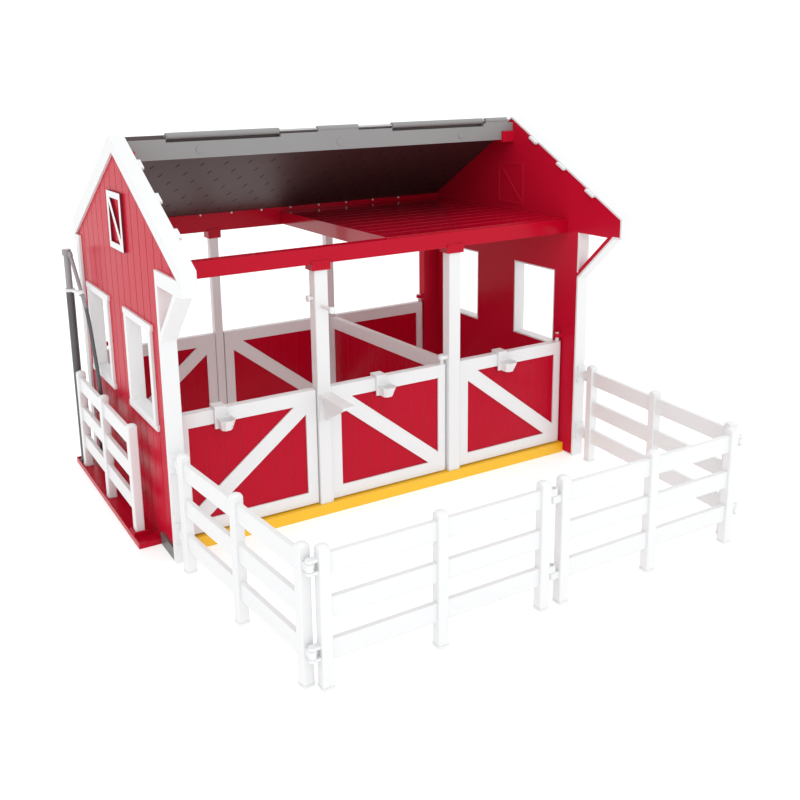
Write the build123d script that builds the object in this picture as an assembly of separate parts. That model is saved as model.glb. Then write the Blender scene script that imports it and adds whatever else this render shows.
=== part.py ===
from build123d import *
import os
from math import asin, atan2, ceil, cos, degrees, hypot, pi, radians, sin, tan

# Toy horse stable with a fold-out paddock, in millimetres.
# X runs along the building, -Y is its open front, Z is up. The origin lies on the ground,
# under the middle of the front base rail. Doors stand between two lines of posts.

os.makedirs("parts", exist_ok=True)

# Building
length = 476            # outside of one gable wall to the outside of the other
wall_thick = 14
depth = 284             # front edge to back edge of a gable wall
front_setback = 24      # front edge of the walls to the front line of posts
back_setback = 10       # back line of posts to the back edge of the walls
roof_setback = 50       # front edge of the walls out to the edge of the closed roof
eave_height = 267       # top of the rear roof at the back edge of the walls
ridge_height = 368
front_pitch = 152       # middle to middle of the two front posts
back_pitch = 150
back_shift = -10        # middle of the building to the middle of the back posts

# Gable walls
front_tip = 60          # tip of the gable past the front edge of the wall
rear_tip = 10           # the same at the back
peak_rise = 4.5         # top of the gable above the ridge of the roof
tip_rise = 7.2          # top of the gable's tips above the eave
tip_high = 21
tip_face = 8            # top of the front tip down to the lower edge of its red face
rear_tip_face = 13.7    # the same at the back
trim_thick = 2.5        # white outline frame on the outer face
trim_wide = 10.5
rear_trim_wide = 16     # board along the rear rake
front_strip = 6         # white strip up the front edge of the outer face
back_strip = 14
trim_lip = 2            # the frame's lip round the edges of the red panel
board_start = 10        # front tip of the gable to the first board
board_wide = 20.3
groove_wide = 1.1
groove_deep = 0.7
brace_wide = 6
brace_drop = 49         # underside of the tip to the brace's foot on the wall
brace_reach = 49.5
catch_drop = 1          # gable's edge down to a catch
catch_long = 13         # bumps on the gable's edge that hold the closed roof down
catch_deep = 3.5
catch_thick = 2.5
catch_places = [51, 5, -40]
corner_post = 20        # post on the right wall that carries a back door
corner_post_inset = 6

# Windows and loft hatches
window_wide = 70
window_sill = 121
window_head = 207.5
window_from_edge = 37   # front or back edge of the wall to the window opening
jamb_wide = 6
head_wide = 5.5
window_ear = 2.5
window_lining = 1.5     # white sleeve through the wall
hatch_wide = 46
hatch_drop = 47         # ridge to the top of the hatch
hatch_rise = 1          # beams to the foot of the hatch
hatch_border = 6
hatch_thick = 2.5
emboss_high = 0.8
emboss_border = 3

# Posts, beams and base rails
post_wide = 14
post_deep = 12
back_post_wide = 10     # square
post_round = 1
base_high = 11
base_deep = 16
beam_drop = 1           # eave to the top of the beams
beam_high = 15
beam_deep = 12
socket_wide = 19
socket_high = 6         # below the beam
back_socket_wide = 15
back_socket_high = 8
socket_deep = 15
socket_wrap = 3         # up the sides of the beam

# Ridge beam and roof
ridge_thick = 5
ridge_deep = 21
ridge_mark_radius = 4
ridge_mark_high = 0.5
roof_thick = 4
roof_gap = 0.3          # between the roof and what it lies over
roof_side_gap = 0.5     # between the hinged panel and the gables
hinge_rise = 0.8        # hinge axis above the top faces of the roof panels
pin_radius = 1.3
pin_fit = 0.05
barrel_radius = 3
barrel_slot = 6         # hinge axis down to the ridge beam where a barrel turns
low_ridge = 3
leaf_start = 7          # hinge axis to the edge of the hinged panel
leaf_web = 2.5
notch_long_gap = 2      # each way past a catch on the gable's edge
notch_deep_gap = 0.5
left_cradle_deep = 8
right_cradle_deep = 16
cradle_wall = 3
cradle_below = 2.5
cradle_high = 9.5
left_barrel_gap = 40    # gable to the nearest turning barrel
left_barrel_end = -68
right_barrel_gap = 42
right_barrel_start = 64
middle_barrel = (-25, 22)
last_barrel_gap = 8     # right gable to the last barrel
last_barrel_long = 30

# Loft floor
loft_left = 0
loft_thick = 3
loft_sink = 2           # floor's underside below the top of the front beam
loft_lap = 5            # what the floor rests on the front beam
ledge_deep = 4          # ledge on the back beam under the floor
ledge_high = 3
loft_rim = 3
loft_rim_deep = 12
loft_board = 20
loft_gap = 0.3          # floor to the back beam

# Half doors and the stall divider
door_top = 129
door_lift = 1.5         # clear of the base rail
door_thick = 8
door_back = 1           # middle of a door behind the middle of the posts
door_gap = 1
door_hinge_gap = 0.7
top_rail = 13.5
bottom_rail = 12.5
stile_wide = 11
brace_board = 15
door_panel_thick = 5
panel_groove = 2
door_board = 16
door_groove_deep = 0.2
hinge_pin_radius = 2
hinge_pin_fit = 0.05
hinge_pin_up = 10
hinge_pin_down = 5
hole_floor_gap = 0.3
lug_above_door = 5
lug_high = 4
divider_end_gap = 0.4   # the divider runs from a front post to a back post

# Feed buckets
bucket_places = [-182, -12, 139]
bucket_shift = 3        # middle of the hook to the middle of the bucket
bucket_wide = 15
bucket_deep = 15
bucket_low_wide = 10
bucket_low_deep = 10
bucket_drop = 7.5       # top of the door to the rim
bucket_high = 10.6
bucket_wall = 1.4
bucket_floor = 1.5
hook_wide = 11
hook_thick = 2
hook_cap = 2.4
hook_drop = 9
hook_gap = 0.3
hook_seat_gap = 0.2

# Saddle rack and tack pegs
rack_top = 125
rack_reach = 48
rack_drop = 27
rack_plate = 3
rack_wide = 13
rack_web = 3
rack_back = 2
peg_radius = 2
peg_head_radius = 3.2
left_peg_drop = 33      # beams to the peg
left_peg_reach = 3.5
left_peg_head = 2
front_peg_drop = 40.5
front_peg_reach = 19
front_peg_head = 2.5

# Fence panels: three posts and three rails each
fence_pivots = 214      # pivot to pivot
fence_reach = 10        # pivot to the middle of the nearest post
fence_high = 110
fence_post_wide = 9
fence_post_round = 1.2
fence_foot = 10
fence_foot_round = 2
fence_foot_high = 2
fence_dome = 7
rail_high = 15.5
rail_thick = 4
rail_tops = [103, 69.5, 37]
foot_gap = 0.4          # feet of the swinging panels above the ground
fence_pin_radius = 1.5
fence_pin_fit = 0.05
knuckle_radius = 3
knuckle_high = 6
knuckle_arm = 2.5
knuckle_gap = 0.3
knuckle_wide = 5

# Paddock layout and its clips on the wall corners
clip_inset = 5.5        # outer face of the wall to the clip
clip_reach = 9          # front edge of the wall to the clip's pivot
clip_plate_wide = 11
clip_plate_thick = 2
clip_plate_high = 18

# Wash side
tray_wide = 20.5
tray_before = 15        # front edge of the tray to the start of the wash fence
tray_past = 2           # back edge of the wall to the end of the tray
tray_thick = 3
tray_lip = 1.2
tray_lip_high = 2.5
tray_socket_wide = 14   # round the foot of the wash fence's front post
tray_socket_high = 5
tray_socket_gap = 0.1
wash_fence_out = 12.5   # outer face of the wall to the middle of the wash fence
wash_fence_gap = 3      # end of the wash fence to the pole
pole_out = 13
pole_past = 2           # back line of posts to the pole
pole_radius = 4.3
pole_shoulder = 200
pole_top_radius = 3.5
pole_top = 240
pole_foot_radius = 5.6
pole_foot_high = 2.5
pole_cap_radius = 4.9
pole_cap_high = 6
collar_radius = 5.6
collar_high = 3
collar_fit = 0.05
outlet_radius = 2.6
outlet_long = 5
hose_radius = 2
hose_clip_gap = 0.3
hose_clip_wall = 1.4
hose_clip_long = 4
arm_wide = 3
nozzle_long = 19
nozzle_radius = 3
nozzle_tip_radius = 1.8
hose_steps = 400        # how finely the clip's place is looked for along the hose
# The hose's points, from the middle of the pole at its top
hose_route = [
    (2.8, -6.5, -1.5),
    (4.6, -15.4, -18.8),
    (6.0, -24.5, -35.5),
    (7.3, -35.5, -50.5),
    (8.0, -43.5, -69.0),
    (8.1, -50.5, -90.0),
    (8.0, -59.5, -112.0),
    (7.8, -68.0, -134.0),
    (7.5, -70.0, -156.0),
    (7.1, -65.5, -176.0),
    (7.0, -61.0, -195.0),
]

# Places worked out from the sizes above
half_length = length / 2
wall_in = half_length - wall_thick
panel_out = half_length - trim_thick
wall_front = -front_setback
wall_back = depth - front_setback
back_line = wall_back - back_setback
ridge_y = (wall_front - roof_setback + wall_back) / 2
roof_run = wall_back - ridge_y
slope = atan2(ridge_height - eave_height, roof_run)
ridge_bottom = ridge_height - ridge_deep
hinge_height = ridge_height + hinge_rise / cos(slope)
roof_long = roof_run / cos(slope)
front_tip_y = wall_front - front_tip
rear_tip_y = wall_back + rear_tip
peak_height = ridge_height + peak_rise
tip_top = eave_height + tip_rise
soffit_height = tip_top - tip_high
gable_slope = atan2(peak_height - tip_top, ridge_y - front_tip_y)
brace_foot = soffit_height - brace_drop
beam_top = eave_height - beam_drop
beam_bottom = beam_top - beam_high
hatch_sill = beam_top + hatch_rise
loft_bottom = beam_top - loft_sink
loft_top = loft_bottom + loft_thick
hatch_head = ridge_height - hatch_drop
front_posts = (-front_pitch / 2, front_pitch / 2)
back_posts = (back_shift - back_pitch / 2, back_shift + back_pitch / 2)
door_bottom = base_high + door_lift
door_end = door_thick / 2
front_door_middle = door_back
back_door_middle = back_line - door_back
wall_hinge_x = wall_in - door_hinge_gap - door_end
corner_hinge_x = wall_in - corner_post - door_hinge_gap - door_end
front_post_hinge_x = front_posts[1] - post_wide / 2 - door_hinge_gap - door_end
back_post_hinge_x = back_posts[1] - back_post_wide / 2 - door_hinge_gap - door_end
lug_bottom = door_top + lug_above_door
bucket_top = door_top - bucket_drop
bucket_bottom = bucket_top - bucket_high
fence_level_top = rail_tops[0] - rail_high / 2
fence_level_low = rail_tops[2] - rail_high / 2
clip_x = half_length - clip_inset
clip_y = wall_front - clip_reach
corner_x = fence_pivots
fence_lean = asin((clip_x - corner_x) / fence_pivots)
corner_y = clip_y - fence_pivots * cos(fence_lean)
turning_barrels = [
    (-wall_in + left_barrel_gap, left_barrel_end),
    (right_barrel_start, wall_in - right_barrel_gap),
]
fixed_barrels = [
    middle_barrel,
    (wall_in - last_barrel_gap - last_barrel_long, wall_in - last_barrel_gap),
]
tray_back = wall_back + tray_past
pole_back = back_line + pole_past
wash_fence_front = pole_back - wash_fence_gap - fence_pivots
tray_front = wash_fence_front - tray_before


def block(x0, x1, y0, y1, z0, z1):
    """A box between two opposite corners."""
    middle = Pos((x0 + x1) / 2, (y0 + y1) / 2, (z0 + z1) / 2)
    return middle * Box(x1 - x0, y1 - y0, z1 - z0)


def plate_x(points, x0, x1):
    """A flat plate square to X, from a (y, z) outline."""
    return extrude(Plane.YZ.offset(x0) * Polygon(*points, align=None), x1 - x0, dir=(1, 0, 0))


def plate_y(points, y0, y1):
    """A flat plate square to Y, from an (x, z) outline."""
    sheet = Plane(origin=(0, y0, 0), x_dir=(1, 0, 0), z_dir=(0, -1, 0))
    return extrude(sheet * Polygon(*points, align=None), y1 - y0, dir=(0, 1, 0))


def rod(radius, start, end):
    """A round rod between two points."""
    along = Vector(*end) - Vector(*start)
    return extrude(Plane(origin=start, z_dir=along) * Circle(radius), along.length)


def band(start, end, wide):
    """Outline of a straight board between two points of a plane, long enough to be trimmed."""
    run = end[0] - start[0]
    rise = end[1] - start[1]
    size = hypot(run, rise)
    side = (-rise / size * wide / 2, run / size * wide / 2)
    over = (run / size * wide, rise / size * wide)
    first = (start[0] - over[0], start[1] - over[1])
    last = (end[0] + over[0], end[1] + over[1])
    return [
        (first[0] + side[0], first[1] + side[1]),
        (last[0] + side[0], last[1] + side[1]),
        (last[0] - side[0], last[1] - side[1]),
        (first[0] - side[0], first[1] - side[1]),
    ]


def save(shape, name):
    """Write one node."""
    shape.label = name
    export_step(shape, f"parts/{name}.step")


def other_side(shape):
    """The same piece on the other side of the building."""
    return mirror(shape, about=Plane.YZ)


# Gable walls, drawn on the right side and mirrored to the left

def gable_outline():
    """The gable with its two tips and the brace under the front one."""
    return [
        (wall_front, 0),
        (wall_back, 0),
        (wall_back, soffit_height),
        (rear_tip_y, soffit_height),
        (rear_tip_y, tip_top),
        (ridge_y, peak_height),
        (front_tip_y, tip_top),
        (front_tip_y, soffit_height),
        (wall_front - brace_reach, soffit_height),
        (wall_front, brace_foot),
    ]


def gable_sheet(inset, x0, x1):
    """The gable silhouette drawn in by an inset, as a plate."""
    face = Polygon(*gable_outline(), align=None)
    if inset > 0:
        face = offset(face, -inset, kind=Kind.INTERSECTION)
    return extrude(Plane.YZ.offset(x0) * face, x1 - x0, dir=(1, 0, 0))


def red_face(x0, x1):
    """What shows of the red panel inside the white frame, as a plate."""
    front_peak = peak_height - trim_wide / cos(gable_slope)
    rear_peak = peak_height - rear_trim_wide / cos(gable_slope)
    front_low = tip_top - tip_face
    rear_low = tip_top - rear_tip_face
    fall = tan(gable_slope)
    front = wall_front + front_strip
    back = wall_back - back_strip
    outline = [
        (front, 0),
        (back, 0),
        (back, rear_low),
        (ridge_y + (rear_peak - rear_low) / fall, rear_low),
        (ridge_y - (front_peak - rear_peak) / (2 * fall), (front_peak + rear_peak) / 2),
        (ridge_y - (front_peak - front_low) / fall, front_low),
        (front, front_low),
    ]
    return plate_x(outline, x0, x1)


def brace_gap(x0, x1):
    """The three-cornered gap between the wall, the tip and the brace."""
    lean = atan2(brace_drop, brace_reach)
    outline = [
        (wall_front, soffit_height),
        (wall_front - brace_reach + brace_wide / sin(lean), soffit_height),
        (wall_front, brace_foot + brace_wide / cos(lean)),
    ]
    return plate_x(outline, x0, x1)


def brace_gap_lip():
    """The frame's lip on the front edge of the wall, beside that gap."""
    return block(
        wall_in, panel_out, wall_front, wall_front + trim_lip, brace_foot + brace_wide, soffit_height
    )


def window_starts():
    """Front edges of the two window openings."""
    return [wall_front + window_from_edge, wall_back - window_from_edge - window_wide]


def hinge_lug(side_x, axis_x, middle_y):
    """A lug from a side face to a door's hinge axis, with the hole for its pin."""
    reach = block(
        min(side_x, axis_x), max(side_x, axis_x),
        middle_y - door_end, middle_y + door_end,
        lug_bottom, lug_bottom + lug_high,
    )
    ring = Pos(axis_x, middle_y, lug_bottom + lug_high / 2) * Cylinder(door_end, lug_high)
    hole = Pos(axis_x, middle_y, lug_bottom + lug_high / 2) * Cylinder(
        hinge_pin_radius + hinge_pin_fit, lug_high * 2
    )
    return reach + ring - hole


def roof_catch(place_y):
    """A bump on the gable's front edge, over the closed roof panel."""
    along = (ridge_y - place_y) / cos(gable_slope)
    corners = []
    for run, drop in (
        (along - catch_long / 2, catch_drop),
        (along + catch_long / 2, catch_drop),
        (along + catch_long / 2, catch_drop + catch_thick),
        (along - catch_long / 2, catch_drop + catch_thick),
    ):
        y = ridge_y - run * cos(gable_slope) + drop * sin(gable_slope)
        z = peak_height - run * sin(gable_slope) - drop * cos(gable_slope)
        corners.append((y, z))
    return plate_x(corners, wall_in - catch_deep, wall_in)


def ridge_cradle(deep):
    """The socket on the gable that holds an end of the ridge beam."""
    half = ridge_thick / 2 + cradle_wall
    low = ridge_bottom - cradle_below
    outer = block(
        wall_in - deep, wall_in, ridge_y - half, ridge_y + half, low, ridge_bottom + cradle_high
    )
    seat = block(
        wall_in - deep, wall_in,
        ridge_y - ridge_thick / 2, ridge_y + ridge_thick / 2,
        ridge_bottom, ridge_bottom + cradle_high,
    )
    return outer - seat


def hatch_lines(half, low, high, border, x0, x1):
    """A bordered rectangle with one diagonal, round the middle of the gable."""
    outer = block(x0, x1, ridge_y - half, ridge_y + half, low, high)
    inner = block(x0, x1, ridge_y - half + border, ridge_y + half - border, low + border, high - border)
    stroke = plate_x(
        band((ridge_y + half - border, high - border), (ridge_y - half + border, low + border), border),
        x0, x1,
    )
    return outer - inner + (stroke & outer)


def wall_panel(with_corner_post, cradle_deep):
    """The red panel of a gable, with boards on its outer face."""
    panel = gable_sheet(trim_lip, wall_in, panel_out) - brace_gap(wall_in, panel_out) - brace_gap_lip()
    grooves = []
    first_board = front_tip_y + board_start
    for count in range(1, ceil((rear_tip_y - first_board) / board_wide)):
        y = first_board + count * board_wide
        grooves.append(
            block(
                panel_out - groove_deep, panel_out,
                y - groove_wide / 2, y + groove_wide / 2, 0, peak_height,
            )
        )
    panel = panel - grooves
    for start in window_starts():
        panel = panel - block(wall_in, panel_out, start, start + window_wide, window_sill, window_head)
    panel = panel + hatch_lines(
        hatch_wide / 2, hatch_sill + hatch_border, hatch_head,
        emboss_border, wall_in - emboss_high, wall_in,
    )
    panel = panel + hinge_lug(wall_in, wall_hinge_x, front_door_middle)
    if with_corner_post:
        panel = panel + block(
            wall_in - corner_post, wall_in,
            back_line - corner_post_inset, back_line + corner_post_inset, base_high, beam_bottom,
        )
        panel = panel + hinge_lug(wall_in - corner_post, corner_hinge_x, back_door_middle)
    else:
        panel = panel + hinge_lug(wall_in, wall_hinge_x, back_door_middle)
    return panel + ridge_cradle(cradle_deep)


def wall_trim():
    lip = gable_sheet(0, wall_in, panel_out) - gable_sheet(trim_lip, wall_in, panel_out)
    frame = gable_sheet(0, panel_out, half_length) - red_face(panel_out, half_length)
    trim = lip + frame - brace_gap(wall_in, half_length) + brace_gap_lip()
    for place in catch_places:
        trim = trim + roof_catch(place)
    return trim


def window_frame(start):
    """White boards round one window, and a sleeve that lines the opening through the wall."""
    end = start + window_wide
    jambs = block(
        panel_out, half_length, start - jamb_wide, end + jamb_wide, window_sill, window_head
    )
    sleeve = block(wall_in, half_length, start, end, window_sill, window_head)
    clear = block(
        wall_in, half_length, start + window_lining, end - window_lining,
        window_sill + window_lining, window_head - window_lining,
    )
    ear = jamb_wide + window_ear
    sill = block(panel_out, half_length, start - ear, end + ear, window_sill - head_wide, window_sill)
    head = block(panel_out, half_length, start - ear, end + ear, window_head, window_head + head_wide)
    return jambs + sill + head + sleeve - clear


def hatch_frame():
    return hatch_lines(
        hatch_wide / 2, hatch_sill, hatch_head, hatch_border, panel_out, panel_out + hatch_thick
    )


def gable_walls():
    save(wall_panel(True, right_cradle_deep), "right_wall_panel")
    save(other_side(wall_panel(False, left_cradle_deep)), "left_wall_panel")
    front_window, back_window = window_starts()
    pieces = {
        "wall_trim": wall_trim(),
        "front_window_frame": window_frame(front_window),
        "rear_window_frame": window_frame(back_window),
        "hatch_frame": hatch_frame(),
    }
    for name, piece in pieces.items():
        save(piece, f"right_{name}")
        save(other_side(piece), f"left_{name}")


# Posts, beams and rails

def post(x, y, wide, deep):
    """A post that stands on a base rail and reaches up to a beam."""
    shaft = extrude(RectangleRounded(wide, deep, post_round), beam_bottom - base_high)
    return Pos(x, y, base_high) * shaft


def under_roof(thing):
    """Trim a piece that stands under the rear roof panel."""
    far = wall_back + roof_run
    drop = roof_thick / cos(slope) + roof_gap
    peak = ridge_height - drop
    above = [
        (ridge_y, peak),
        (far, peak - (far - ridge_y) * tan(slope)),
        (far, ridge_height * 2),
        (ridge_y, ridge_height * 2),
    ]
    return thing - plate_x(above, -length, length)


def socket(x, line_y, outside, below, wide, deep):
    """The collar and the pocket round the top of a post."""
    collar = block(
        x - outside / 2, x + outside / 2, line_y - socket_deep / 2, line_y + socket_deep / 2,
        beam_bottom - below, beam_bottom + socket_wrap,
    )
    pocket = block(
        x - wide / 2, x + wide / 2, line_y - deep / 2, line_y + deep / 2, beam_bottom - below, beam_bottom
    )
    return collar, pocket


def front_beam():
    body = block(-wall_in, wall_in, -beam_deep / 2, beam_deep / 2, beam_bottom, beam_top)
    for x in front_posts:
        collar, pocket = socket(x, 0, socket_wide, socket_high, post_wide, post_deep)
        body = body + collar - pocket
    rebate = block(
        loft_left - loft_gap, wall_in, beam_deep / 2 - loft_lap, beam_deep / 2, loft_bottom, beam_top
    )
    return body - rebate


def back_beam():
    """It reaches up to the roof, and the loft floor rests on a ledge on its front face."""
    front = back_line - beam_deep / 2
    back = back_line + beam_deep / 2
    body = block(-wall_in, wall_in, front, back, beam_bottom, ridge_height)
    body = body + block(
        loft_left + loft_rim + loft_gap, wall_in, front - ledge_deep, front,
        loft_bottom - ledge_high, loft_bottom,
    )
    for x in back_posts:
        collar, pocket = socket(
            x, back_line, back_socket_wide, back_socket_high, back_post_wide, back_post_wide
        )
        body = body + collar - pocket
    return under_roof(body)


def base_rail(line_y, door_y, hinge_places):
    """A yellow rail on the ground, with the holes for the lower door pins."""
    body = block(-wall_in, wall_in, line_y - base_deep / 2, line_y + base_deep / 2, 0, base_high)
    depth_of_hole = hinge_pin_down - door_lift + hole_floor_gap
    for x in hinge_places:
        hole = Pos(x, door_y, base_high - depth_of_hole / 2) * Cylinder(
            hinge_pin_radius + hinge_pin_fit, depth_of_hole
        )
        body = body - hole
    return body


def building_frame():
    save(front_beam(), "front_header_beam")
    save(back_beam(), "back_header_beam")
    front_hinges = (-wall_hinge_x, front_post_hinge_x, wall_hinge_x)
    back_hinges = (-wall_hinge_x, back_post_hinge_x, corner_hinge_x)
    save(base_rail(0, front_door_middle, front_hinges), "front_base_rail")
    save(base_rail(back_line, back_door_middle, back_hinges), "back_base_rail")
    for row, line_y, door_y, places, wide, deep, axis_x in (
        ("front", 0, front_door_middle, front_posts, post_wide, post_deep, front_post_hinge_x),
        ("back", back_line, back_door_middle, back_posts, back_post_wide, back_post_wide, back_post_hinge_x),
    ):
        save(post(places[0], line_y, wide, deep), f"{row}_post_left")
        lug = hinge_lug(places[1] - wide / 2, axis_x, door_y)
        save(post(places[1], line_y, wide, deep) + lug, f"{row}_post_right")


# Ridge and roof

def along_roof(run, rise):
    """A point of the rear slope, from its run below the hinge and its rise off the axis plane."""
    y = ridge_y + run * cos(slope) + rise * sin(slope)
    z = hinge_height - run * sin(slope) + rise * cos(slope)
    return (y, z)


def ridge_beam():
    front = ridge_y - ridge_thick / 2
    back = ridge_y + ridge_thick / 2
    body = block(-wall_in, wall_in, front, back, ridge_bottom, hinge_height - low_ridge)
    for start, end in turning_barrels:
        body = body - block(
            start - 1, end + 1, front, back, hinge_height - barrel_slot, hinge_height
        )
    for start, end in fixed_barrels:
        middle = (start + end) / 2
        body = body + block(start, end, front, back, hinge_height - barrel_slot, hinge_height)
        body = body + Pos(middle, ridge_y, hinge_height) * Rot(0, 90, 0) * Cylinder(
            barrel_radius, end - start
        )
    bore = rod(
        pin_radius + pin_fit,
        (-wall_in, ridge_y, hinge_height),
        (wall_in, ridge_y, hinge_height),
    )
    body = body - bore
    middle_z = (ridge_bottom + hinge_height - barrel_slot) / 2
    for x in (-front_pitch, 0, front_pitch):
        mark = rod(
            ridge_mark_radius,
            (x, front - ridge_mark_high, middle_z),
            (x, front, middle_z),
        )
        body = body + mark
    return body


def rear_roof():
    start = ridge_y + ridge_thick / 2
    fall = tan(slope)
    drop = roof_thick / cos(slope)
    top = ridge_height - (start - ridge_y) * fall
    points = [
        (start, top),
        (wall_back, eave_height),
        (wall_back, eave_height - drop),
        (start, top - drop),
    ]
    return plate_x(points, -wall_in, wall_in)


def front_roof():
    """The hinged front half of the roof, folded back over the rear half."""
    side = wall_in - roof_side_gap
    sheet = plate_x(
        [
            along_roof(leaf_start, hinge_rise),
            along_roof(roof_long, hinge_rise),
            along_roof(roof_long, hinge_rise + roof_thick),
            along_roof(leaf_start, hinge_rise + roof_thick),
        ],
        -side, side,
    )
    for start, end in turning_barrels:
        web = plate_x(
            [
                along_roof(0, hinge_rise),
                along_roof(leaf_start + roof_thick, hinge_rise),
                along_roof(leaf_start + roof_thick, hinge_rise + leaf_web),
                along_roof(0, hinge_rise + leaf_web),
            ],
            start, end,
        )
        barrel = rod(barrel_radius, (start, ridge_y, hinge_height), (end, ridge_y, hinge_height))
        sheet = sheet + web + barrel
    for place in catch_places:
        along = (ridge_y - place) / cos(gable_slope)
        reach = catch_long / 2 + notch_long_gap
        outline = [
            along_roof(along - reach, 0),
            along_roof(along + reach, 0),
            along_roof(along + reach, 2 * (hinge_rise + roof_thick)),
            along_roof(along - reach, 2 * (hinge_rise + roof_thick)),
        ]
        notch = plate_x(outline, wall_in - catch_deep - notch_deep_gap, wall_in)
        sheet = sheet - notch - other_side(notch)
    bore = rod(
        pin_radius + pin_fit,
        (-wall_in, ridge_y, hinge_height),
        (wall_in, ridge_y, hinge_height),
    )
    return sheet - bore


def roof():
    save(ridge_beam(), "ridge_beam")
    save(rear_roof(), "rear_roof_panel")
    save(front_roof(), "front_roof_panel")
    pin = rod(
        pin_radius,
        (turning_barrels[0][0], ridge_y, hinge_height),
        (fixed_barrels[-1][1], ridge_y, hinge_height),
    )
    save(pin, "roof_hinge_pin")


def loft_deck():
    front = beam_deep / 2 - loft_lap
    back = back_line - beam_deep / 2 - loft_gap
    floor = block(loft_left, wall_in, front, back, loft_bottom, loft_top)
    grooves = []
    for count in range(1, ceil((back - front) / loft_board)):
        y = front + count * loft_board
        grooves.append(
            block(
                loft_left + loft_rim, wall_in,
                y - groove_wide / 2, y + groove_wide / 2,
                loft_top - groove_deep, loft_top,
            )
        )
    rim = block(
        loft_left, loft_left + loft_rim, beam_deep / 2, back, loft_bottom - loft_rim_deep, loft_bottom
    )
    save(floor - grooves + rim, "loft_floor")


# Framed and boarded leaves: doors and the divider

def boarded_leaf(width, high, is_door):
    """A frame and its boarded panel, standing on Z = 0 with the thickness centred on Y = 0.

    A door has a rounded hinge edge at X = 0 and a diagonal that rises away from it.
    """
    half = door_thick / 2
    if is_door:
        outer = block(half, width, -half, half, 0, high)
        outer = outer + Pos(half, 0, high / 2) * Cylinder(half, high)
    else:
        outer = block(0, width, -half, half, 0, high)
    x0 = stile_wide
    x1 = width - stile_wide
    z0 = bottom_rail
    z1 = high - top_rail
    opening = block(x0, x1, -half, half, z0, z1)
    sheet_half = door_panel_thick / 2
    panel = block(
        x0 - panel_groove, x1 + panel_groove, -sheet_half, sheet_half,
        z0 - panel_groove, z1 + panel_groove,
    )
    frame = outer - opening - panel
    if is_door:
        reach = panel_groove / 2
        window = block(x0 - reach, x1 + reach, -half, half, z0 - reach, z1 + reach)
        outline = band((x0, z0), (x1, z1), brace_board)
        for near, far in ((-half, -sheet_half), (sheet_half, half)):
            frame = frame + (plate_y(outline, near, far) & window)
    grooves = []
    boards = max(1, round((x1 - x0) / door_board))
    step = (x1 - x0) / boards
    for count in range(1, boards):
        x = x0 + count * step
        for face_y in (-sheet_half, sheet_half):
            grooves.append(
                block(
                    x - groove_wide / 2, x + groove_wide / 2,
                    face_y - door_groove_deep, face_y + door_groove_deep, z0, z1,
                )
            )
    return frame, panel - grooves


def door(axis_x, free_x, middle_y):
    """A half door with pins at both ends of its hinge stile."""
    high = door_top - door_bottom
    frame, panel = boarded_leaf(abs(free_x - axis_x) + door_end, high, True)
    pin_up = Pos(door_end, 0, high + hinge_pin_up / 2) * Cylinder(hinge_pin_radius, hinge_pin_up)
    pin_down = Pos(door_end, 0, -hinge_pin_down / 2) * Cylinder(hinge_pin_radius, hinge_pin_down)
    frame = frame + pin_up + pin_down
    if free_x < axis_x:
        frame = other_side(frame)
        panel = other_side(panel)
        place = Pos(axis_x + door_end, middle_y, door_bottom)
    else:
        place = Pos(axis_x - door_end, middle_y, door_bottom)
    return place * frame, place * panel


def doors():
    for row, middle_y, places, wide, middle_axis, right_axis in (
        ("front", front_door_middle, front_posts, post_wide, front_post_hinge_x, wall_hinge_x),
        ("back", back_door_middle, back_posts, back_post_wide, back_post_hinge_x, corner_hinge_x),
    ):
        clear = wide / 2 + door_gap
        for name, axis_x, free_x in (
            ("left", -wall_hinge_x, places[0] - clear),
            ("middle", middle_axis, places[0] + clear),
            ("right", right_axis, places[1] + clear),
        ):
            frame, panel = door(axis_x, free_x, middle_y)
            save(frame, f"{row}_{name}_door_frame")
            save(panel, f"{row}_{name}_door_panel")


def divider():
    """It runs from the right front post to the right back post, a little askew."""
    start = Vector(front_posts[1], post_deep / 2)
    end = Vector(back_posts[1], back_line - back_post_wide / 2)
    along = end - start
    frame, panel = boarded_leaf(along.length - 2 * divider_end_gap, door_top - base_high, False)
    turn = degrees(atan2(along.Y, along.X))
    place = Pos(start.X, start.Y, base_high) * Rot(0, 0, turn) * Pos(divider_end_gap, 0, 0)
    save(place * frame, "divider_frame")
    save(place * panel, "divider_panel")


# Fittings

def bucket(x):
    """A feed bucket with a hook that drops over a door's top rail."""
    face = front_door_middle - door_end - hook_gap
    back = front_door_middle + door_end + hook_gap
    near = face - hook_thick
    lip = back + hook_thick
    seat = door_top + hook_seat_gap
    hook = block(x - hook_wide / 2, x + hook_wide / 2, near, lip, door_top - hook_drop, seat + hook_cap)
    hook = hook - block(x - hook_wide / 2, x + hook_wide / 2, face, back, door_top - hook_drop, seat)
    plate = block(
        x - hook_wide / 2, x + hook_wide / 2, near, face, bucket_bottom, door_top - hook_drop
    )
    middle = x + bucket_shift
    middle_top = Plane(origin=(middle, near - bucket_deep / 2, bucket_top))
    middle_low = Plane(origin=(middle, near - bucket_low_deep / 2, bucket_bottom))
    outside = loft_between(middle_low, bucket_low_wide, bucket_low_deep, middle_top, bucket_wide, bucket_deep)
    floor_plane = Plane(origin=(middle, near - bucket_low_deep / 2, bucket_bottom + bucket_floor))
    hollow = loft_between(
        floor_plane, bucket_low_wide - 2 * bucket_wall, bucket_low_deep - 2 * bucket_wall,
        middle_top, bucket_wide - 2 * bucket_wall, bucket_deep - 2 * bucket_wall,
    )
    return hook + plate + (outside - hollow)


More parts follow.
